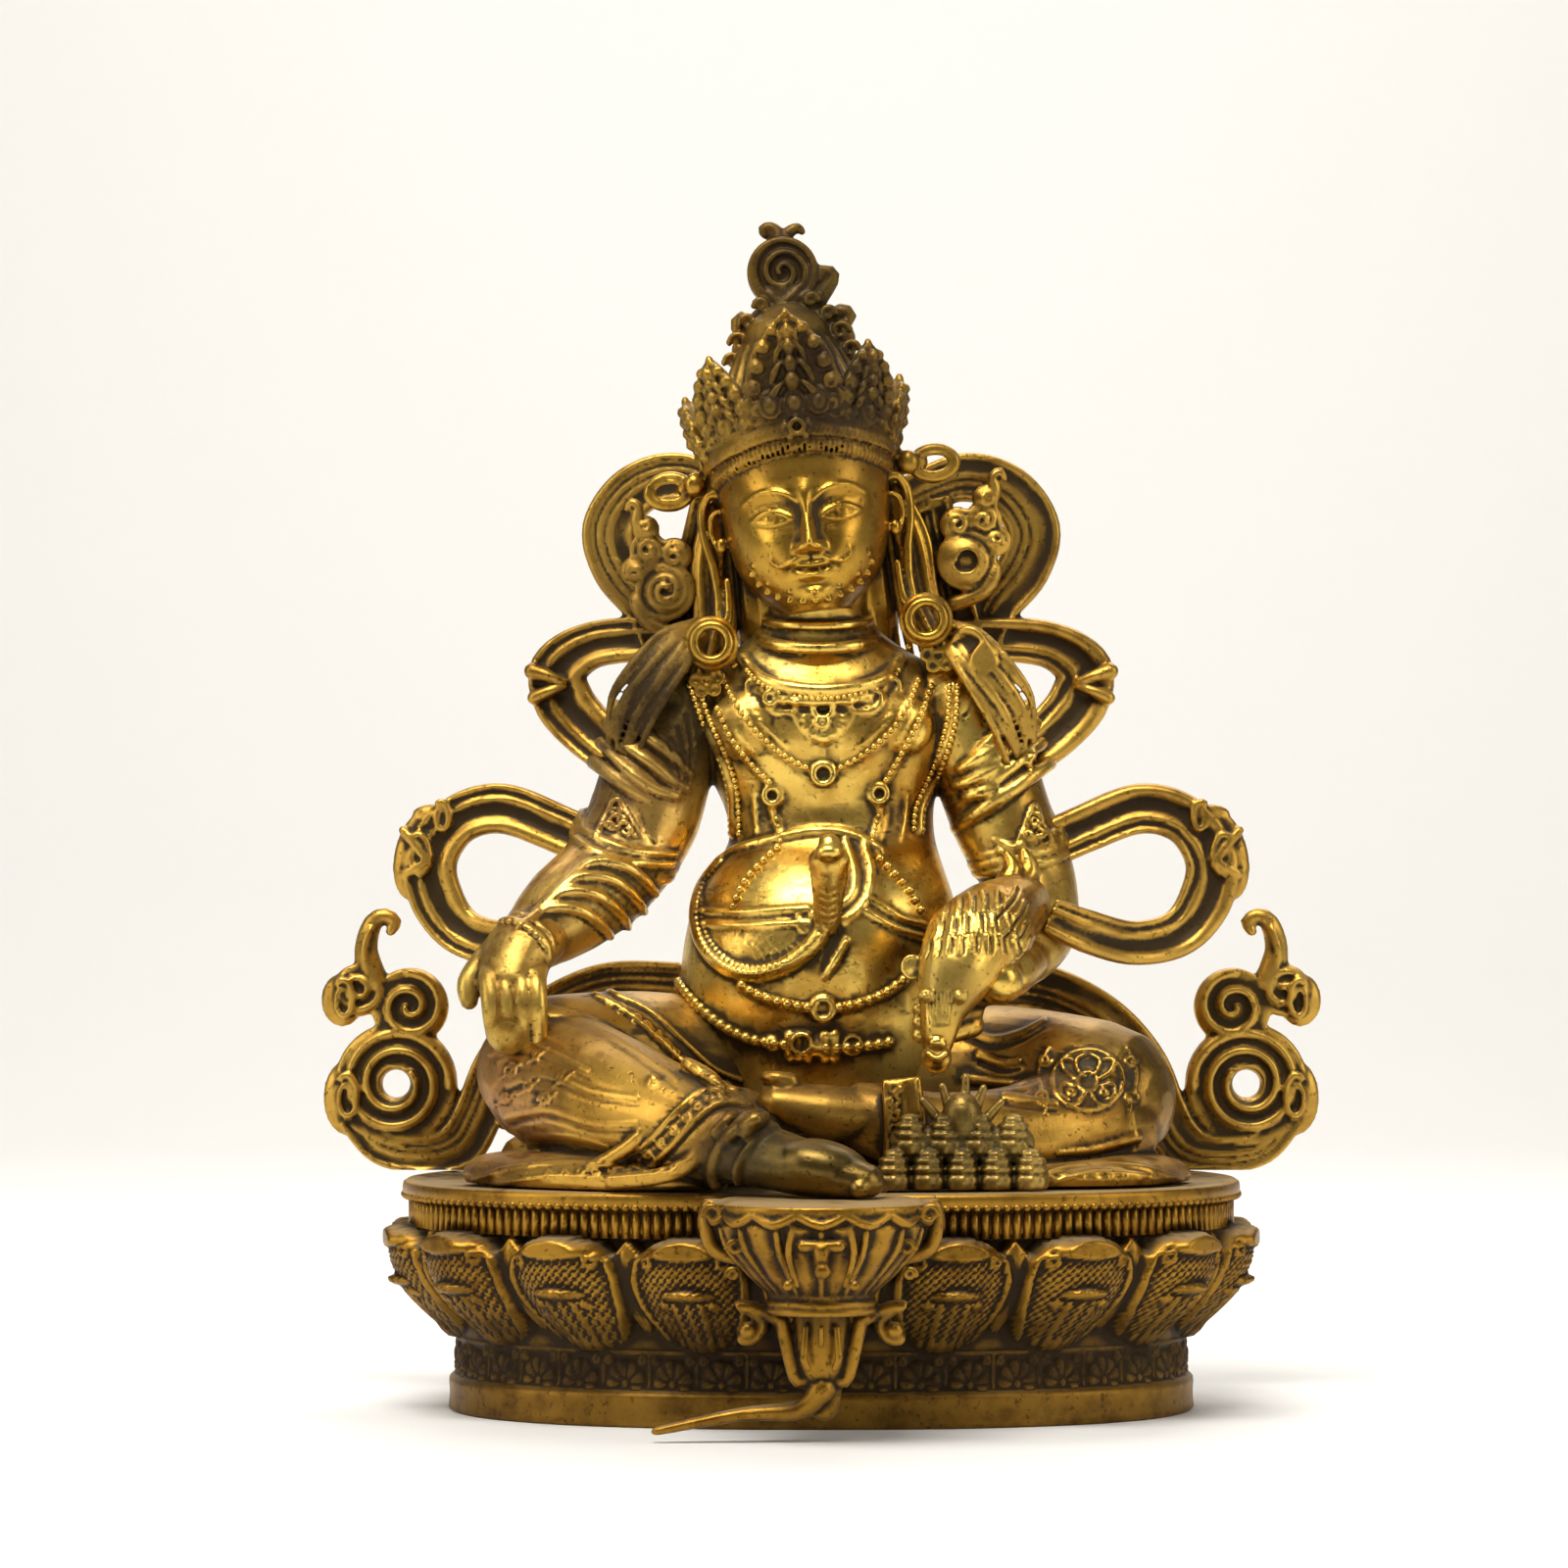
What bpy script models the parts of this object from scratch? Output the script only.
"""A seated wealth god in gilt brass, with a mongoose that pours out jewels, on a lotus throne.

X runs to the viewer's right, -Y towards the viewer and +Z up. The origin is the centre of the throne's underside.
"""

import math

import bmesh
import bpy
from mathutils import Matrix, Vector

# Throne, from the ground up, in metres
FOOT_HEIGHT = 0.0065
LOWER_BAND_HEIGHT = 0.0068
PETAL_HEIGHT = 0.0202
FLUTE_HEIGHT = 0.0048
RIM_THICKNESS = 0.0032
THRONE_HEIGHT = FOOT_HEIGHT + LOWER_BAND_HEIGHT + PETAL_HEIGHT + FLUTE_HEIGHT + RIM_THICKNESS
RIM_WIDTH = 0.152
RIM_DEPTH = 0.104
PLAN_POWER = 2.35
FOOT_INSET = 0.0083
WAIST_INSET = 0.0098
FLUTE_INSET = 0.0011
PETAL_BULGE = 0.0048
PETAL_VALLEY = 0.0060
PETAL_NOTCH = 0.14
PETAL_COUNT = 18
COLUMNS_PER_PETAL = 6

# The figure is laid out on a sculptor's grid: its height is divided into equal parts.
FIGURE_HEIGHT = 0.1765
FIT_GAP = 0.0003
PARTS_IN_HEIGHT = 176.5
PART = FIGURE_HEIGHT / PARTS_IN_HEIGHT
SEAT = THRONE_HEIGHT + FIT_GAP

# Foot lotus, the small bracket that the right foot rests on
BRACKET_RADIUS = 0.0186
BRACKET_DROP = 0.0185
STEM_DROP = 0.0385
SCROLL_RADIUS = 0.0042
PARTS_IN_BRACKET = 18.6
BRACKET_PART = BRACKET_RADIUS / PARTS_IN_BRACKET
BRACKET_Y = -RIM_DEPTH / 2 - BRACKET_RADIUS * 0.72

# Jewel pile
JEWEL_RADIUS = 0.0031
JEWEL_HEIGHT = 0.0070
JEWEL_ROWS = (5, 4)

# Grain of the casting: the size of the cubes that each clay form is fused with
FIGURE_GRAIN = 0.00085
SMALL_GRAIN = 0.0005


# Clay: closed shapes that are put together, then fused into one skin
class Clay:
    def __init__(self, unit=PART, base=(0, 0, SEAT)):
        self.mesh = bmesh.new()
        self.unit = unit
        self.base = Vector(base)
        self.frame = Matrix.Identity(4)

    def place(self, point):
        return self.base + self.unit * (self.frame @ Vector(point))

    def skin(self, rings):
        """Closes a row of rings of equal length into a solid, with a point at each end."""
        rows = [[self.mesh.verts.new(self.place(p)) for p in ring] for ring in rings]
        count = len(rows[0])
        made = []
        for low, high in zip(rows, rows[1:]):
            for i in range(count):
                j = (i + 1) % count
                made.append(self.mesh.faces.new((low[i], low[j], high[j], high[i])))
        made.append(self.mesh.faces.new(rows[0][::-1]))
        made.append(self.mesh.faces.new(rows[-1]))
        bmesh.ops.recalc_face_normals(self.mesh, faces=made)

    def blob(self, centre, radii, turn=(0, 0, 0)):
        """An egg: radii along its own X, Y and Z, turned by degrees about X, Y and Z."""
        spin = Matrix.Identity(4)
        for axis, degrees in zip("XYZ", turn):
            spin = Matrix.Rotation(math.radians(degrees), 4, axis) @ spin
        size = Matrix.Diagonal((*[r * self.unit for r in radii], 1))
        here = Matrix.Translation(self.place(centre)) @ self.frame.to_3x3().to_4x4() @ spin @ size
        bmesh.ops.create_icosphere(self.mesh, subdivisions=3, radius=1, matrix=here)

    def limb(self, path, radii, flat=1.0, sides=14, step=2.0):
        """A round bar along a smooth path, with one radius for each of the path's points; flat thins its height."""
        points, sizes = smooth_path(path, radii, step)
        rings = []
        side = (points[1] - points[0]).normalized().cross(Vector((0, 0, 1)))
        if side.length < 0.3:
            side = Vector((1, 0, 0))
        for i, (point, size) in enumerate(zip(points, sizes)):
            along = (points[min(i + 1, len(points) - 1)] - points[max(i - 1, 0)]).normalized()
            side = (side - along * side.dot(along)).normalized()
            other = along.cross(side)
            rings.append([
                point + side * math.cos(a) * size + other * math.sin(a) * size * flat
                for a in turn_angles(sides)
            ])
        self.round_ends(rings, points, sizes)
        self.skin(rings)

    def round_ends(self, rings, points, sizes):
        """Adds a domed cap beyond the first and the last ring."""
        for end, step in ((0, 1), (-1, -1)):
            out = (points[end] - points[end + step]).normalized()
            ring = rings[end]
            centre = sum(ring, Vector()) / len(ring)
            for lift, keep in ((0.5, 0.87), (0.86, 0.5), (0.97, 0.2)):
                cap = [centre + out * sizes[end] * lift + (p - centre) * keep for p in ring]
                rings.insert(0, cap) if end == 0 else rings.append(cap)

    def band(self, path, widths, thick=3.0, hem=0.7):
        """A cast scarf: a flat band along a smooth path, wide across the front view, with raised hems."""
        points, sizes = smooth_path(path, widths, 2.0)
        half = thick / 2
        section = (
            (-1, half), (-1, -half), (-0.82, -half - hem), (-0.6, -half + 0.2), (-0.2, -half - 0.1),
            (0.2, -half + 0.2), (0.6, -half + 0.2), (0.82, -half - hem), (1, -half), (1, half),
        )
        rings = []
        for i, (point, size) in enumerate(zip(points, sizes)):
            along = points[min(i + 1, len(points) - 1)] - points[max(i - 1, 0)]
            across = Vector((along.z, 0, -along.x)).normalized()
            rings.append([point + across * u * size + Vector((0, v, 0)) for u, v in section])
        self.skin(rings)

    def wheel(self, centre, radius, hole=0.0, thick=3.0, turns=1.6, ridge=0.8, start=0.0):
        """A scroll end: a plate, pierced or not, with a raised spiral on its front."""
        x, y, z = centre
        inner = max(hole, 0.01)
        path = []
        for a in turn_angles(20):
            path.append((math.cos(a), math.sin(a)))
        section = ((inner, thick / 2), (radius, thick / 2), (radius, -thick / 2), (inner, -thick / 2))
        if hole:
            rings = [[(x + r * c, y + d, z + r * s) for r, d in section] for c, s in path]
            self.closed_ring(rings)
        else:
            self.skin([[(x + radius * c, y + d, z + radius * s) for c, s in path] for d in (-thick / 2, thick / 2)])
        steps = int(14 * turns)
        spiral = []
        for i in range(steps + 1):
            share = i / steps
            a = start + share * turns * math.tau
            r = radius - ridge + (hole + ridge - radius + ridge) * share
            spiral.append((x + r * math.cos(a), y - thick / 2, z + r * math.sin(a)))
        self.limb(spiral, [ridge] * len(spiral), sides=8, step=1.2)

    def closed_ring(self, rings):
        """Joins rings end to end around a loop."""
        rows = [[self.mesh.verts.new(self.place(p)) for p in ring] for ring in rings]
        made = []
        for i, row in enumerate(rows):
            following = rows[(i + 1) % len(rows)]
            for j in range(len(row)):
                k = (j + 1) % len(row)
                made.append(self.mesh.faces.new((row[j], row[k], following[k], following[j])))
        bmesh.ops.recalc_face_normals(self.mesh, faces=made)

    def torus(self, centre, radii, bar, turn=(0, 0, 0), sides=8, count=28):
        """An oval ring of round bar, lying flat before it is turned."""
        spin = Matrix.Identity(3)
        for axis, degrees in zip("XYZ", turn):
            spin = Matrix.Rotation(math.radians(degrees), 3, axis) @ spin
        rings = []
        for a in turn_angles(count):
            out = Vector((math.cos(a) * radii[0], math.sin(a) * radii[1], 0))
            rings.append([
                Vector(centre) + spin @ (out + out.normalized() * bar * math.cos(b) + Vector((0, 0, bar * math.sin(b))))
                for b in turn_angles(sides)
            ])
        self.closed_ring(rings)

    def cast(self, name, material, grain, keep, smoothing=2, seat=None):
        """Fuses the clay into one skin, cuts it flat at the seat's height and thins its faces out to the given share."""
        data = bpy.data.meshes.new(name)
        self.mesh.to_mesh(data)
        self.mesh.free()
        form = bpy.data.objects.new(name, data)
        bpy.context.scene.collection.objects.link(form)
        data.materials.append(material)
        fuse = form.modifiers.new("Fuse", "REMESH")
        fuse.mode = "VOXEL"
        fuse.voxel_size = grain
        soften = form.modifiers.new("Soften", "SMOOTH")
        soften.factor = 0.5
        soften.iterations = smoothing
        if seat is not None:
            cut_flat(form, seat)
        thin = form.modifiers.new("Thin", "DECIMATE")
        thin.ratio = keep
        graph = bpy.context.evaluated_depsgraph_get()
        form.data = bpy.data.meshes.new_from_object(form.evaluated_get(graph))
        form.modifiers.clear()
        drop_specks(form.data)
        if seat is not None:
            level_seat(form.data, seat)
        return form


def drop_specks(data):
    """Keeps the largest body and removes the grains and tiny blowholes that the fusing leaves inside it."""
    mesh = bmesh.new()
    mesh.from_mesh(data)
    left = set(mesh.verts)
    bodies = []
    while left:
        body, edge = set(), [left.pop()]
        while edge:
            vert = edge.pop()
            body.add(vert)
            near = {e.other_vert(vert) for e in vert.link_edges} & left
            left -= near
            edge.extend(near)
        bodies.append(body)
    specks = [vert for body in bodies if len(body) < 12 for vert in body]
    bmesh.ops.delete(mesh, geom=specks, context="VERTS")
    mesh.to_mesh(data)
    mesh.free()


def turn_angles(count):
    return [math.tau * i / count for i in range(count)]


def smooth_path(path, sizes, step):
    """Points and sizes along a Catmull-Rom curve through the given ones, about one step apart."""
    knots = [Vector(p) for p in path]
    if len(sizes) != len(knots):
        sizes = [sizes[0]] * len(knots)
    points, widths = [], []
    for i in range(len(knots) - 1):
        a, b = knots[max(i - 1, 0)], knots[i]
        c, d = knots[i + 1], knots[min(i + 2, len(knots) - 1)]
        count = max(1, round((c - b).length / step))
        for j in range(count):
            t = j / count
            points.append(0.5 * (2 * b + (c - a) * t + (2 * a - 5 * b + 4 * c - d) * t ** 2
                                 + (3 * b - 3 * c + d - a) * t ** 3))
            widths.append(sizes[i] + (sizes[i + 1] - sizes[i]) * t)
    return points + [knots[-1]], widths + [sizes[-1]]


def metal(name, colour, roughness):
    made = bpy.data.materials.new(name)
    made.use_nodes = True
    shader = made.node_tree.nodes["Principled BSDF"]
    shader.inputs["Base Color"].default_value = (*colour, 1)
    shader.inputs["Metallic"].default_value = 1.0
    shader.inputs["Roughness"].default_value = roughness
    return made


def cut_flat(form, height):
    """Removes what lies below a height, so that the form stands on a flat seat."""
    reach = 2 * RIM_WIDTH
    depth = THRONE_HEIGHT
    bpy.ops.mesh.primitive_cube_add(size=1, location=(0, 0, height - depth / 2))
    cutter = bpy.context.object
    cutter.name = form.name + "_seat_cutter"
    cutter.scale = (reach, reach, depth)
    hide_cutter(cutter)
    subtract(form, cutter)


def level_seat(data, height):
    """Puts back the points of the seat that the thinning moved off its plane."""
    for vert in data.vertices:
        if vert.co.z < height + FIT_GAP:
            vert.co.z = height


def hide_cutter(cutter):
    cutter.hide_render = True
    cutter.display_type = "WIRE"


def subtract(form, cutter):
    cut = form.modifiers.new("Cut " + cutter.name, "BOOLEAN")
    cut.operation = "DIFFERENCE"
    cut.object = cutter


# Lotus throne
def plan_point(angle, inset, z):
    """A point on the throne's oval plan, moved in by an inset."""
    half_x, half_y = RIM_WIDTH / 2 - inset, RIM_DEPTH / 2 - inset
    c, s = math.cos(angle), math.sin(angle)
    power = 2 / PLAN_POWER
    return Vector((
        half_x * math.copysign(abs(c) ** power, c),
        half_y * math.copysign(abs(s) ** power, s),
        z,
    ))


def even_angles(count):
    """Angles that space points evenly along the oval, starting at the front centre."""
    fine = 2880
    ring = [plan_point(-math.pi / 2 + math.tau * i / fine, 0, 0) for i in range(fine + 1)]
    lengths = [0.0]
    for a, b in zip(ring, ring[1:]):
        lengths.append(lengths[-1] + (b - a).length)
    angles, i = [], 0
    for k in range(count):
        wanted = lengths[-1] * k / count
        while lengths[i + 1] < wanted:
            i += 1
        angles.append(-math.pi / 2 + math.tau * i / fine)
    return angles


def petal_profile(rise, across):
    """How far a petal stands out of the plan: rise runs from its root to its tip, across from -1 to 1."""
    belly = math.sin(math.pi * min(1.0, rise * 0.62 + 0.12)) ** 1.5
    crest = PETAL_BULGE * belly - WAIST_INSET * (1 - rise) ** 1.6
    valley = crest - PETAL_VALLEY * (0.25 + 0.75 * rise)
    edge = abs(across) ** 2.6
    return crest * (1 - edge) + valley * edge


def make_throne(material):
    petal_foot = FOOT_HEIGHT + LOWER_BAND_HEIGHT
    petal_top = petal_foot + PETAL_HEIGHT
    rim_foot = THRONE_HEIGHT - RIM_THICKNESS
    lip = RIM_THICKNESS * 0.3
    rows = [
        (0, FOOT_INSET), (FOOT_HEIGHT - lip, FOOT_INSET), (FOOT_HEIGHT, WAIST_INSET),
    ]
    tops = [
        (petal_top + lip, FLUTE_INSET), (rim_foot, FLUTE_INSET), (rim_foot + lip, 0), (THRONE_HEIGHT, 0),
    ]
    petal_steps = (0.0, 0.25, 0.5, 0.72, 0.9, 1.0)
    count = PETAL_COUNT * COLUMNS_PER_PETAL
    mesh = bmesh.new()
    columns = []
    for k, angle in enumerate(even_angles(count)):
        across = ((k + COLUMNS_PER_PETAL / 2) % COLUMNS_PER_PETAL) / (COLUMNS_PER_PETAL / 2) - 1
        column = [plan_point(angle, inset, z) for z, inset in rows]
        for rise in petal_steps:
            tip = 1 - PETAL_NOTCH * abs(across) ** 3
            z = petal_foot + PETAL_HEIGHT * rise * tip
            column.append(plan_point(angle, -petal_profile(rise, across), z))
        column += [plan_point(angle, inset, z) for z, inset in tops]
        columns.append([mesh.verts.new(p) for p in column])
    for k, column in enumerate(columns):
        following = columns[(k + 1) % count]
        for j in range(len(column) - 1):
            mesh.faces.new((column[j], following[j], following[j + 1], column[j + 1]))
    mesh.faces.new([column[-1] for column in columns])
    mesh.faces.new([column[0] for column in reversed(columns)])
    bmesh.ops.recalc_face_normals(mesh, faces=mesh.faces)
    data = bpy.data.meshes.new("lotus_throne")
    mesh.to_mesh(data)
    mesh.free()
    throne = bpy.data.objects.new("lotus_throne", data)
    bpy.context.scene.collection.objects.link(throne)
    data.materials.append(material)
    return throne


def make_throne_clearance():
    """The throne's outline grown by the fit gap, which keeps the bracket off it."""
    mesh = bmesh.new()
    petal_reach = PETAL_BULGE + FIT_GAP
    petal_top = FOOT_HEIGHT + LOWER_BAND_HEIGHT + PETAL_HEIGHT
    step = FLUTE_INSET
    levels = (
        (-RIM_THICKNESS, petal_reach), (petal_top + step, petal_reach),
        (petal_top + 2 * step, FIT_GAP), (THRONE_HEIGHT + RIM_THICKNESS, FIT_GAP),
    )
    rings = [[mesh.verts.new(plan_point(a, -out, z)) for a in even_angles(64)] for z, out in levels]
    for low, high in zip(rings, rings[1:]):
        for i in range(len(low)):
            j = (i + 1) % len(low)
            mesh.faces.new((low[i], low[j], high[j], high[i]))
    mesh.faces.new(rings[0][::-1])
    mesh.faces.new(rings[-1])
    bmesh.ops.recalc_face_normals(mesh, faces=mesh.faces)
    data = bpy.data.meshes.new("throne_clearance")
    mesh.to_mesh(data)
    mesh.free()
    cutter = bpy.data.objects.new("throne_clearance", data)
    bpy.context.scene.collection.objects.link(cutter)
    hide_cutter(cutter)
    return cutter


# Foot lotus
def make_foot_lotus(material, clearance):
    """A half-open lotus pod on a curling stem, hooked against the front of the rim."""
    clay = Clay(unit=BRACKET_PART, base=(0, BRACKET_Y, THRONE_HEIGHT))
    r = BRACKET_RADIUS / BRACKET_PART
    drop = BRACKET_DROP / BRACKET_PART
    profile = (
        (0.90 * r, 0), (r, -0.04 * drop), (r, -0.11 * drop), (0.93 * r, -0.16 * drop), (0.95 * r, -0.24 * drop),
        (0.86 * r, -0.45 * drop), (0.66 * r, -0.70 * drop), (0.46 * r, -0.88 * drop), (0.50 * r, -0.94 * drop),
        (0.34 * r, -drop),
    )
    lobes = 14
    rings = []
    for reach, z in profile:
        wave = 0.03 * reach if -0.9 * drop < z < -0.2 * drop else 0
        rings.append([
            ((reach + wave * math.cos(lobes * a)) * math.cos(a), 0.86 * (reach + wave * math.cos(lobes * a)) * math.sin(a), z)
            for a in turn_angles(4 * lobes)
        ])
    clay.skin(rings)
    stem = STEM_DROP / BRACKET_PART
    curl = SCROLL_RADIUS / BRACKET_PART
    clay.limb([(0, 0, -0.9 * drop), (0, 1, -0.72 * stem), (0.5, 3, -stem + 3)], [5.2, 4.2, 2.6], flat=0.7)
    clay.limb([(0, 1, -stem + 6), (-4, 1.5, -stem + 2.6), (-14, 1, -stem + 1.8), (-28, 1, -stem - 1.0)],
              [3.0, 2.2, 1.5, 0.9], flat=0.8, sides=10)
    for side in (-1, 1):
        arc = []
        for i in range(13):
            a = math.pi * (0.05 + 1.45 * i / 12)
            reach = curl * (1 - 0.045 * i)
            arc.append((side * (0.62 * r + 1.6 + reach * math.cos(a)), 0.5, -1.18 * drop + reach * math.sin(a)))
        leaf = [(side * 2.6, 1, -stem + 8), (side * 4.2, 0.5, -0.80 * stem), (side * 0.36 * r, 0, -1.12 * drop)]
        clay.limb(leaf, [1.6, 1.3, 1.3], sides=10)
        clay.limb([(side * 0.36 * r, 0, -1.12 * drop), (side * 0.62 * r, 0.4, -drop)] + arc[3:], [1.2] * 12, sides=8, step=1.0)
        clay.limb([(side * 0.70 * r, 0, -0.55 * drop), (side * 0.98 * r, 0, -0.45 * drop),
                   (side * 1.05 * r, 0, -0.15 * drop), (side * 1.0 * r, 0, -1)], [1.3, 1.5, 1.4, 1.8], sides=8)
    bracket = clay.cast("foot_lotus", material, SMALL_GRAIN, keep=0.018, smoothing=3)
    subtract(bracket, clearance)
    trim_top(bracket, THRONE_HEIGHT)
    return bracket


def trim_top(form, height):
    """Removes what lies above a height."""
    reach = 2 * RIM_WIDTH
    depth = THRONE_HEIGHT
    bpy.ops.mesh.primitive_cube_add(size=1, location=(0, 0, height + depth / 2))
    cutter = bpy.context.object
    cutter.name = form.name + "_top_cutter"
    cutter.scale = (reach, reach, depth)
    hide_cutter(cutter)
    subtract(form, cutter)


# Jewel pile
def make_jewel_pile(material):
    """Rows of ringed buds, the upper row standing in the gaps of the lower, under a flaming jewel."""
    clay = Clay()
    r, tall = JEWEL_RADIUS / PART, JEWEL_HEIGHT / PART
    pitch = 1.92 * r
    centre_x, front_y = 24.5, -43.0
    for row, count in enumerate(JEWEL_ROWS):
        for i in range(count):
            x = centre_x + (i - (count - 1) / 2) * pitch
            y = front_y + row * 0.55 * r
            z = row * 0.86 * tall
            profile = ((0.55, 0.0), (0.95, 0.14), (1.0, 0.45), (0.80, 0.62), (0.92, 0.70), (0.55, 0.86), (0.2, 1.05))
            clay.skin([
                [(x + r * w * math.cos(a), y + r * w * math.sin(a), z - 0.6 + tall * h) for a in turn_angles(12)]
                for w, h in profile
            ])
        clay.limb([(centre_x - pitch * count * 0.42, front_y + 2.4, z + 2), (centre_x + pitch * count * 0.42, front_y + 2.4, z + 2)],
                  [2.8, 2.8], sides=8)
    top = 1.75 * tall
    clay.blob((centre_x, front_y + 2, top), (r * 1.15, r * 1.1, r * 1.5))
    for lean, height in ((-2.0, 0.5), (-1.0, 0.9), (0.2, 1.15), (1.1, 0.85), (2.0, 0.45)):
        tip = (centre_x + lean * r * 1.1, front_y + 2, top + height * r * 2)
        clay.limb([(centre_x + lean * 0.8, front_y + 2.6, top - r), tip], [1.3, 0.7], sides=8, step=1.0)
    return clay.cast("jewel_pile", material, SMALL_GRAIN, keep=0.051, seat=SEAT)


# Seated figure
def add_torso(clay):
    """Hips, a full belly, chest and neck in one loft of ovals that sways to the figure's left at the waist."""
    sections = (
        (-2, 0, 27, 20, 12), (10, 0, 27, 21, 11), (20, 0, 26, 21, 8), (30, -0.6, 26, 21, 5.5), (37, -0.4, 25.4, 21, 4.6),
        (44, 0, 24.8, 20.6, 4.2), (50, 0.6, 23.8, 19.4, 4.8), (56, 1.3, 21.2, 16.8, 6.2), (61, 2.0, 19.0, 14.2, 8),
        (66, 1.6, 19.0, 13.4, 8.6), (73, 0.8, 21.2, 14.4, 8.2), (80, 0.8, 23.6, 15.6, 7.8), (87, 0.4, 24.6, 14.8, 8),
        (93, 0, 21, 12, 8.6), (97, -0.3, 14.5, 10.5, 8), (101, -0.5, 10, 9.6, 6.5), (108, -0.7, 9.3, 9.2, 4.5),
    )
    clay.skin([
        [(x + half_x * math.cos(a), y + half_y * math.sin(a), z) for a in turn_angles(36)]
        for z, x, half_x, half_y, y in sections
    ])
    for side in (-1, 1):
        clay.blob((side * 10, -1.4, 82), (10.5, 5.2, 7.5))
        clay.blob((side * 25, 8, 86), (10.4, 10, 10.4))
    clay.torus((-0.5, 5.6, 98.5), (10.8, 10.8), 1.4, turn=(14, 0, 0))
    clay.torus((-0.4, 5.4, 93.6), (14.6, 14.2), 1.5, turn=(24, 0, 0))
    clay.blob((0.2, -7.6, 84.5), (4.6, 1.6, 4.2))


def belly_front(x, z):
    """How far forward the belly's skin stands at a place on the front view."""
    reach = max(0.0, 1 - (x / 26) ** 2 - ((z - 40) / 46) ** 2)
    return 4.6 - 21.0 * math.sqrt(reach)


def add_belly_dress(clay):
    """The belt, the beaded girdle and the snake tied round the belly, whose head rears in front."""
    for drop, reach, sag in ((0, 0, 7.5), (-7.5, 1.0, 10.5)):
        path = []
        for i in range(17):
            a = math.pi * (1.04 + 0.92 * i / 16)
            path.append((-0.4 + (25.4 + reach) * math.cos(a), 4.6 + (21 + reach) * math.sin(a),
                         35 + drop - sag * math.sin(math.pi * i / 16)))
        clay.limb(path, [1.4] * len(path), sides=8)
    for x, z in ((0.3, 27.5), (0.3, 18.6)):
        clay.blob((x, belly_front(x, z) - 1, z), (2.4, 2.2, 2.4))
    clay.limb([(1.2, -14, 56), (1.4, -19.5, 58.5), (1.3, -20.4, 54), (1.5, -18.0, 46), (-1.5, -17.6, 39.5)],
              [2.2, 2.7, 2.0, 2.2, 1.8], sides=10)
    coil = []
    for i in range(15):
        a = math.radians(128 + 162 * i / 14)
        x, z = -9.5 + 13.2 * math.cos(a), 48.5 + 12.5 * math.sin(a)
        coil.append((x, belly_front(x, z) - 0.3, z))
    clay.limb(coil, [1.5] * len(coil), sides=8)
    for x, z, far, height in ((-20.5, 47.5, -1.5, 46.8), (3.5, 48.5, 21.5, 43.5)):
        bar = [(x + (far - x) * t, 0, z + (height - z) * t) for t in (0, 0.25, 0.5, 0.75, 1)]
        clay.limb([(px, belly_front(px, pz) + 0.1, pz) for px, _, pz in bar], [1.5] * 5, sides=8)
    arc = []
    for i in range(9):
        x = -17.5 + 30 * i / 8
        z = 57.5 + 5.2 * math.sin(math.pi * i / 8)
        arc.append((x + 1, belly_front(x, z) - 1.6 + 0.05 * abs(x), z))
    clay.limb(arc, [1.3] * len(arc), sides=8)


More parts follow.
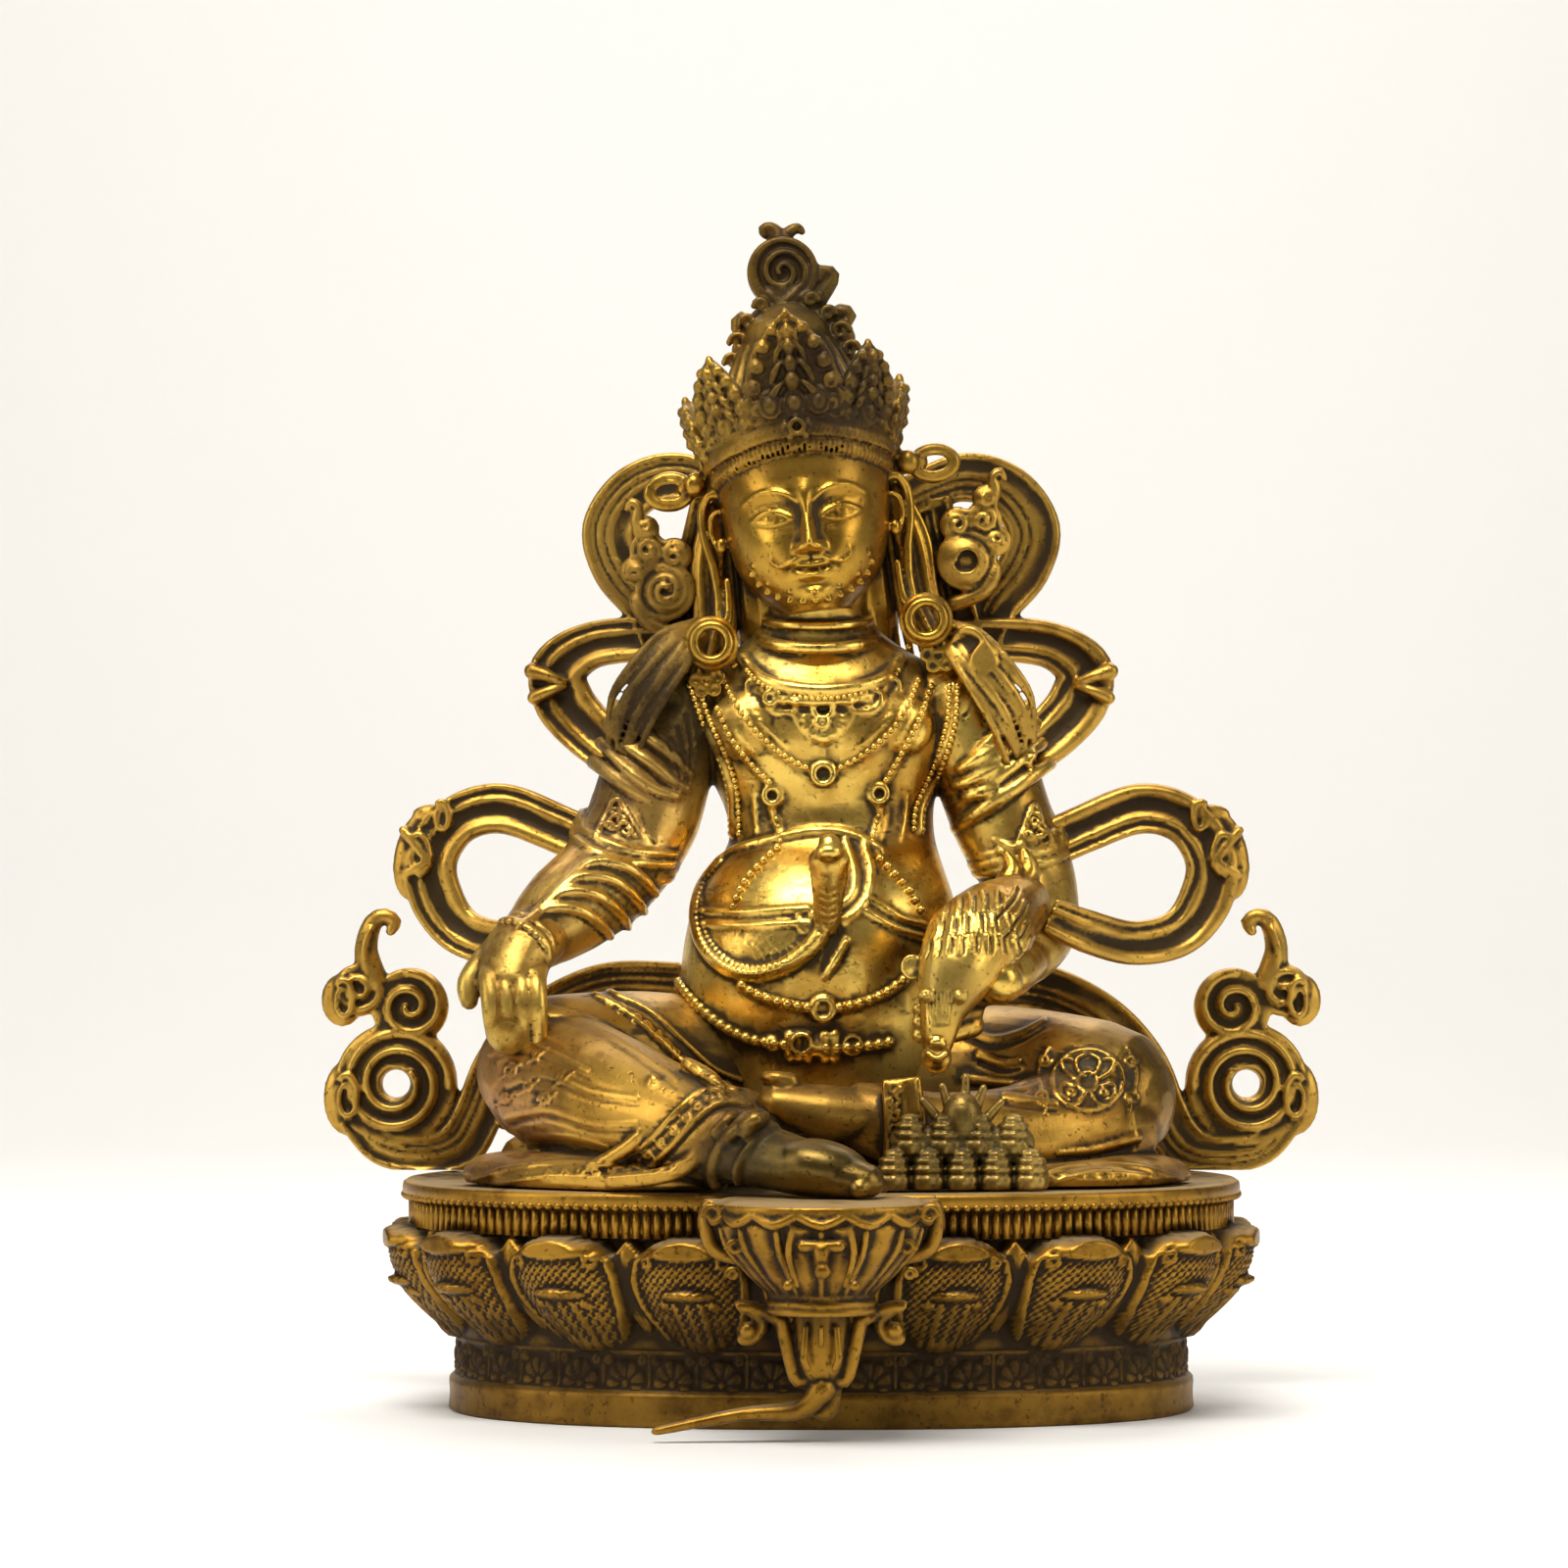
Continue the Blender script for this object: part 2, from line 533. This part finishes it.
def add_arms(clay):
    """The right arm reaches down to the raised knee, the left holds the mongoose."""
    clay.limb([(-24, 8, 87), (-29, 7, 77), (-32.3, 5, 66), (-35.5, 2.5, 59.5), (-40, -2, 53.5), (-46, -8, 48.4),
               (-50.6, -12, 44.4)], [9.5, 10, 10.3, 9.8, 9.3, 8.6, 6.8])
    clay.limb([(-50.5, -12, 44.5), (-53.6, -18, 41.5), (-55.5, -22.5, 36.5)], [6.6, 7.0, 6.4], flat=0.85)
    clay.limb([(-57.5, -16, 42), (-61.6, -20, 37.6), (-63.2, -22, 33.8)], [3.0, 2.4, 1.9], sides=10)
    for x, tip in ((-58.8, 26.5), (-56.0, 25.5), (-53.2, 25.0), (-50.6, 24.6)):
        clay.limb([(x * 0.995, -20, 39), (x, -26, 35.5), (x + 0.6, -27.6, 31), (x + 0.8, -26, tip)],
                  [2.4, 2.2, 2.0, 1.7], sides=10)
    clay.blob((-55.2, -24, 27.5), (4.4, 4.4, 5.0))
    clay.limb([(24, 8, 87), (29, 7.5, 77), (33.2, 7, 65), (36.6, 6, 58), (39, 3, 50.5), (38.8, -2.5, 44.5),
               (35.4, -10, 40)], [9.5, 9.7, 9.3, 9.0, 8.0, 7.4, 6.0])
    clay.limb([(35.4, -10, 40), (31.5, -18, 37), (26, -22, 35)], [6.0, 6.2, 4.6], flat=0.85)
    clay.blob((31.6, -25.2, 36.0), (4.2, 4.0, 4.2))
    clay.torus((-35.7, 3.4, 60.2), (9.8, 9.8), 1.6, turn=(14, 26, 0))
    clay.torus((36.2, 6.4, 59.4), (8.9, 8.9), 1.4, turn=(6, -18, 0))
    for side, points in ((-1, ((-30.5, 6.6, 77.5), (-32, 6, 73.4), (-33.6, 5.4, 69.2))),
                         (1, ((30.5, 7.4, 77.5), (32, 7.2, 73.4), (33.6, 7, 69.2)))):
        for centre in points:
            clay.torus(centre, (10.6, 9.6), 1.7, turn=(0, -side * 42, 0))
    for centre in ((-41.5, -3.4, 52.9), (-43.9, -5.8, 50.8), (-46.2, -8.0, 48.8)):
        clay.torus(centre, (9.0, 8.6), 1.3, turn=(36, 44, 0))
    clay.torus((-50.2, -12, 45), (7.0, 6.8), 1.3, turn=(50, 40, 0))
    for side, x in ((-1, -38.2), (1, 37.2)):
        clay.skin(wedge((x, -6.4 if side < 0 else -3.6, 63.4), 3.4, 4.6, 2.6))


def wedge(centre, half, tall, thick):
    """Two rings that make an upright pointed plate."""
    x, y, z = centre
    outline = ((-half, -tall / 2), (half, -tall / 2), (half * 0.5, tall * 0.2), (0, tall), (-half * 0.5, tall * 0.2))
    return [[(x + u, y + d, z + v) for u, v in outline] for d in (-thick / 2, thick)]


def add_mongoose(clay):
    """The mongoose lies along the left forearm with its head down and its mouth over the jewels."""
    clay.limb([(36, -9, 49.5), (31, -18, 46), (26.5, -24, 42), (23.4, -28.5, 36.5), (21.2, -30.6, 30),
               (20.4, -31.2, 24.6)], [5.4, 8.0, 8.6, 6.8, 3.9, 2.7])
    clay.blob((20.3, -31.4, 22.6), (2.7, 2.7, 3.0))
    clay.limb([(35, -9, 52), (37.4, -8, 55.5), (36.6, -8, 59)], [3.6, 2.4, 0.9], sides=8)
    for x, y, z in ((16.2, -26.5, 38.0), (27.4, -29.5, 37.4)):
        clay.blob((x, y, z), (1.8, 1.6, 2.0))


def add_legs(clay):
    """The right leg hangs to the foot lotus, the left is folded flat, both under drapery."""
    clay.blob((0, -4, 4), (27, 22, 13))
    clay.limb([(-46, 2, 3), (0, 12, 4), (46, 2, 3)], [13, 17, 13], flat=0.55)
    clay.limb([(-12, 10, 14), (-30, -1, 19), (-48.3, -14, 19.6)], [16, 14.5, 13.6])
    clay.limb([(-47, -16, 18), (-36, -31, 14.5), (-25, -42, 11.5), (-15, -50, 8.5)], [13, 11.6, 9.4, 7.4])
    sole = BRACKET_Y / PART
    clay.limb([(-17, sole + 15, 8), (-10, sole + 8, 6.5), (-2, sole + 2, 4.6), (7, sole - 1, 2.8)],
              [6.2, 6.4, 5.6, 3.8], flat=0.85)
    for i in range(5):
        clay.limb([(3.5 + 1.1 * i, sole + 3 - 0.7 * i, 2.6), (6.5 + i, sole - 4 + 1.9 * i, 1.6)],
                  [1.9, 1.6 - 0.1 * i], sides=8)
    clay.limb([(12, 10, 14), (32, 3, 16.4), (50.4, -7, 14.6)], [16, 14.6, 13.9])
    clay.limb([(49, -11, 10), (34, -21, 7.6), (20, -27, 8.6), (8, -28.5, 12)], [12.4, 9.6, 7.8, 6.2])
    clay.limb([(9, -28.5, 12), (0, -30, 13), (-7, -31, 14.2)], [6.0, 6.0, 4.6], flat=0.8)
    for i in range(5):
        clay.limb([(-5.5, -31.5, 10 + 2.1 * i), (-9.5, -31.5, 9.6 + 2.4 * i)], [1.7, 1.4], sides=8)


def add_drapery(clay):
    """Hems, folds and the robe that spreads over the throne."""
    clay.limb([(-56, -20, 1.6), (-46, -32, 1.6), (-33, -41, 1.6), (-20, -43, 1.2)], [8.0, 8.6, 7.4, 4.0], flat=0.5)
    clay.limb([(59, -14, 1.0), (53, -25, 1.2), (42, -31, 1.2), (27, -33, 1.2)], [7.5, 7.5, 5.6, 4], flat=0.5)
    clay.limb([(-23, -45, 21.5), (-18, -50, 18.0), (-19, -54, 10), (-25, -52, 3.6), (-36, -47, 1.6)], [1.7] * 5, sides=8)
    clay.limb([(-29, -46, 19), (-31, -48, 10), (-40, -44.5, 3.6)], [1.5] * 3, sides=8)
    clay.limb([(-38, -5, 33.6), (-27, -12, 32.0), (-19, -20, 25.5), (-14, -28, 16)], [1.6, 1.8, 1.8, 1.6], sides=8)
    clay.limb([(-30, -2, 34), (-20, -11, 30), (-13, -19, 22)], [1.6, 1.8, 1.8], sides=8)
    clay.limb([(-16, -20, 10), (-14, -36, 8), (-15, -46, 6)], [9, 7, 5], flat=0.8)
    clay.limb([(-55, -24, 24), (-46, -31, 20), (-38, -38.5, 18)], [1.3, 1.6, 1.3], sides=8)
    clay.limb([(33, -12, 26.5), (41, -13, 28.5), (47, -8, 29.0)], [1.5] * 3, sides=8)
    clay.limb([(26, -22, 20), (33, -24.5, 18), (40, -22.5, 17)], [1.6] * 3, sides=8)
    clay.band([(14.0, -34.4, 19), (14.6, -35.2, 12), (14.8, -34.4, 3)], [3.4, 3.6, 3.8], thick=3.2)


def add_scarf(clay, side):
    """One side of the scarf: a loop by the head, one by the shoulder, one by the elbow, and a scrolled end."""
    def at(x, y, z):
        return (side * x, y, z)

    clay.band([at(15, 11, 124), at(26, 14, 128.4), at(34.5, 15, 126), at(39.2, 15, 119), at(37.4, 15, 111.5),
               at(32, 14.5, 104.5), at(29, 14, 97)], [3.6, 4.4, 4.7, 4.9, 4.8, 4.4, 4.0])
    clay.band([at(20, 12, 124), at(22.5, 14, 112), at(26, 13, 98)], [3.8, 4.4, 4.0])
    clay.band([at(25, 13, 98), at(34, 14, 98.4), at(43, 15, 97.2), at(48.6, 15, 92.8), at(47.6, 15, 87),
               at(43, 14, 81.5), at(37, 11, 76.5), at(32, 8, 73)], [4.0, 4.0, 4.2, 5.2, 5.4, 5.0, 4.4, 4.0])
    clay.band([at(40, 3, 59.5), at(48, 5, 63.2), at(58.5, 6, 67), at(66.8, 6, 64.8), at(71.6, 6, 57.8),
               at(70.4, 6, 50.2), at(65.5, 5, 44.2), at(57, 0, 42.4), at(48, -8.5, 44.6), at(41, -11.5, 47.5)],
              [4.2, 4.3, 4.5, 4.4, 4.8, 4.8, 4.2, 3.9, 3.8, 3.2])
    clay.blob(at(74.4, 6.4, 58.4), (4.6, 1.8, 8.6), turn=(0, side * -12, 0))
    clay.blob(at(70.5, 6.4, 65.4), (5.0, 1.8, 2.6), turn=(0, side * -8, 0))
    clay.band([at(26, 14, 34), at(40, 19, 34), at(52, 20, 28.6), at(60, 21, 20), at(64, 21, 10), at(67.6, 21, 4.4),
               at(74, 21, 2.8), at(82, 21, 4.4), at(88, 21, 10)], [4.6, 4.4, 4.2, 4.2, 4.4, 4.6, 3.6, 3.6, 3.0])
    clay.wheel(at(79.2, 21, 16), 11.4, hole=2.6, turns=1.7, start=math.pi if side > 0 else 0)
    clay.blob(at(88.8, 21, 13.4), (4.6, 1.8, 7.2))
    clay.wheel(at(76.6, 21, 30.4), 7.4, turns=1.3)
    clay.wheel(at(86.4, 21, 33.4), 5.0, turns=1.2)
    clay.blob(at(89.6, 21, 31.6), (4.2, 1.7, 5.0))
    clay.limb([at(83.5, 21, 35), at(84.8, 21, 41), at(83.5, 21, 46.4), at(80.6, 21, 46.8)],
              [3.0, 2.3, 2.0, 2.3], flat=0.8)


def add_head(clay):
    """Head, long ears, earrings and hair, in the head's own frame, which leans to the viewer's left."""
    rings = []
    for z, half_x, front, back in (
        (-0.4, 4.5, 12.6, -6), (1.4, 8.2, 14.3, 0), (4.5, 11.4, 15.2, 8), (9, 13.6, 15.6, 12), (14, 14.9, 15.4, 15),
        (19, 15.4, 15.2, 16), (24, 15.6, 15.3, 16), (29, 15.4, 14.8, 16), (34, 12.5, 12.5, 14), (38, 7, 6, 9),
    ):
        rings.append([
            (half_x * math.cos(a), (front if math.sin(a) < 0 else back) * math.sin(a), z) for a in turn_angles(32)
        ])
    clay.skin(rings)
    clay.limb([(0, -14.6, 19), (0, -17, 14), (0, -18.4, 11.4)], [1.3, 1.6, 2.0], sides=10, step=1.0)
    for side in (-1, 1):
        clay.blob((side * 1.8, -16.4, 11.0), (1.5, 1.6, 1.2))
        clay.blob((side * 5.9, -13.6, 16.8), (3.1, 1.9, 1.6))
        clay.limb([(side * 2.2, -15.0, 20), (side * 6, -14.9, 21.4), (side * 10.2, -12.3, 20.2)], [0.7, 0.8, 0.5],
                  sides=8, step=1.0)
        clay.blob((side * 7.4, -11.6, 9.5), (4.4, 3.6, 4.2))
        clay.limb([(side * 15.8, 0, 22), (side * 18.0, 1, 18), (side * 17.2, 0, 10), (side * 17.2, -1, 1)],
                  [2.0, 2.3, 1.8, 1.8], sides=10)
        clay.torus((side * 19.0, -3.4, -3.6), (3.4, 3.4), 1.2, turn=(90, 0, 0), count=20)
        clay.blob((side * 21.4, -3.4, -9.0), (2.7, 2.0, 3.2))
        clay.limb([(side * 14, 6, 24), (side * 19, 7, 12), (side * 21.5, 6, 0), (side * 25, 3, -9)],
                  [4.6, 4.6, 4.4, 3.6], flat=0.8)
        clay.limb([(side * 7, 11, 26), (side * 9, 13, 12), (side * 11, 14, 0), (side * 14, 15, -10)],
                  [8, 8, 7, 5], flat=0.8)
    clay.limb([(-3.2, -15.4, 6.6), (0, -16.5, 6.4), (3.2, -15.4, 6.6)], [0.8, 1.3, 0.8], sides=8, step=1.0)
    clay.blob((0, -14.2, 2.2), (4.2, 2.2, 2.6))


def add_crown(clay):
    """A band with five leaves, a bow over each ear, the topknot and its pierced scroll."""
    clay.torus((0, 0.5, 30.0), (17.0, 17.0), 1.9, turn=(-14, 0, 0), count=36)
    clay.torus((0, 1, 33.6), (17.0, 16.6), 1.5, turn=(-14, 0, 0), count=36)
    for degrees, wide, tall, base in ((0, 8.2, 19.0, 34.5), (47, 7.0, 15.5, 32.5), (-47, 7.0, 15.5, 32.5),
                                      (88, 5.4, 12, 29.0), (-88, 5.4, 12, 29.0)):
        add_leaf(clay, degrees, wide, tall, base)
    for side in (-1, 1):
        clay.torus((side * 24.5, 2, 24.5), (4.0, 2.8), 1.3, turn=(90, 0, 0), count=20)
        clay.limb([(side * 14, 3, 25), (side * 21.5, 2.4, 25)], [2.4, 2.0], sides=8)
    clay.limb([(0, 3, 34), (0, 4, 42), (0, 5, 48)], [14, 11.5, 9.0], flat=0.9)
    clay.skin([
        [(x + 0.6 + half_x * math.cos(a), 6 + half_y * math.sin(a), z) for a in turn_angles(16)]
        for z, x, half_x, half_y in (
            (44, 0, 11.5, 5), (50, 0.6, 11.5, 3.6), (54, 0.8, 9.5, 3.0), (57, 0, 5.2, 2.6), (60, -0.2, 4.0, 2.4),
        )
    ])
    for path in (((7, 6, 52), (10.5, 6, 54.4), (12.2, 6, 54.0)), ((5, 6, 55), (8.4, 6, 59.0), (9.0, 6, 61.6)),
                 ((-6, 6, 50), (-8.6, 6, 53.4), (-8.2, 6, 55.2))):
        clay.limb(path, [2.0, 1.9, 1.7], sides=8)
    clay.wheel((0.6, 6.5, 62.6), 6.7, turns=1.6, thick=4.0)
    clay.limb([(0.8, 6.5, 67), (0.6, 6.5, 70.4), (-1.4, 6.5, 71.4)], [2.4, 1.9, 1.9], sides=8)
    clay.blob((3.6, 6.5, 70.6), (2.1, 1.6, 1.4))


def add_leaf(clay, degrees, wide, tall, base):
    """A pointed crown leaf that leans outwards, with a bead at its heart and two curled shoulders."""
    around = math.radians(degrees)
    out = Vector((math.sin(around), -math.cos(around), 0))
    across = Vector((math.cos(around), math.sin(around), 0))
    root = Vector((0, 1, base)) + out * 16.8
    rise = Vector((0, 0, tall)) + out * 4.2
    rings = []
    for share, width in ((0, 0.72), (0.18, 1.0), (0.38, 0.86), (0.6, 0.66), (0.8, 0.36), (0.94, 0.14)):
        half = wide * width
        rings.append([root + rise * share + across * half * u + out * v for u, v in
                      ((-1, -1), (0, -1.6), (1, -1), (1, 0.4), (0.5, 1.3), (0, 1.8), (-0.5, 1.3), (-1, 0.4))])
    clay.skin(rings)
    clay.blob(root + rise * 0.34 + out * 1.6, (2.0, 2.0, 2.0))
    for side in (-1, 1):
        clay.blob(root + rise * 0.2 + across * side * wide * 0.8 + out * 1.0, (2.0, 1.8, 2.2))
        clay.blob(root + rise * 0.56 + across * side * wide * 0.55 + out * 0.8, (1.7, 1.6, 2.2))


def add_shoulder_flowers(clay):
    """Scrolled clouds beside the ears and locks of hair on the shoulders."""
    for side, x, z, hole in ((-1, -28.6, 107.0, 0.0), (1, 26.6, 112.6, 1.3)):
        clay.wheel((x, 9, z), 5.6, turns=1.5, hole=hole)
        clay.limb([(x + side * 0.5, 9, z + 4), (x + side * 2.0, 9, z + 8.5), (x + side * 5.6, 9, z + 11.5),
                   (x + side * 5.4, 9, z + 14.4)], [4.2, 3.6, 2.6, 1.7], flat=0.7)
        clay.limb([(x + side * 5.5, 9, z - 1.5), (x + side * 3.0, 9, z - 5.4), (x - side * 1.5, 10, z - 7.5)],
                  [2.2, 2.4, 2.6], flat=0.8)
        clay.limb([(x, 9, z), (x - side * 3, 13, z), (x - side * 4, 14, z)], [3.5, 3.5, 3.5])
        clay.limb([(side * 20, 4, 101), (side * 26, 0, 96), (side * 31.5, -1, 89), (side * 36, 1, 79.5)],
                  [3.4, 4.4, 3.8, 1.6], flat=0.7)


def make_figure(material):
    """The god, his crown, robe, mongoose and scarf in one casting."""
    clay = Clay()
    add_torso(clay)
    add_belly_dress(clay)
    add_arms(clay)
    add_mongoose(clay)
    add_legs(clay)
    add_drapery(clay)
    for side in (-1, 1):
        add_scarf(clay, side)
    add_shoulder_flowers(clay)
    neck_top = Vector((-0.9, 2.2, 103.2))
    clay.frame = Matrix.Translation(neck_top) @ Matrix.Rotation(math.radians(-6.2), 4, "Y")
    add_head(clay)
    add_crown(clay)
    return clay.cast("seated_figure", material, FIGURE_GRAIN, keep=0.0207, seat=SEAT)


def main():
    for old in list(bpy.data.objects):
        bpy.data.objects.remove(old)
    gilt = metal("gilt_brass", (0.62, 0.40, 0.12), 0.32)
    throne_metal = metal("aged_gilt_brass", (0.42, 0.28, 0.09), 0.42)
    patina = metal("patinated_brass", (0.34, 0.28, 0.14), 0.5)
    make_throne(throne_metal)
    make_foot_lotus(throne_metal, make_throne_clearance())
    make_jewel_pile(patina)
    make_figure(gilt)


main()
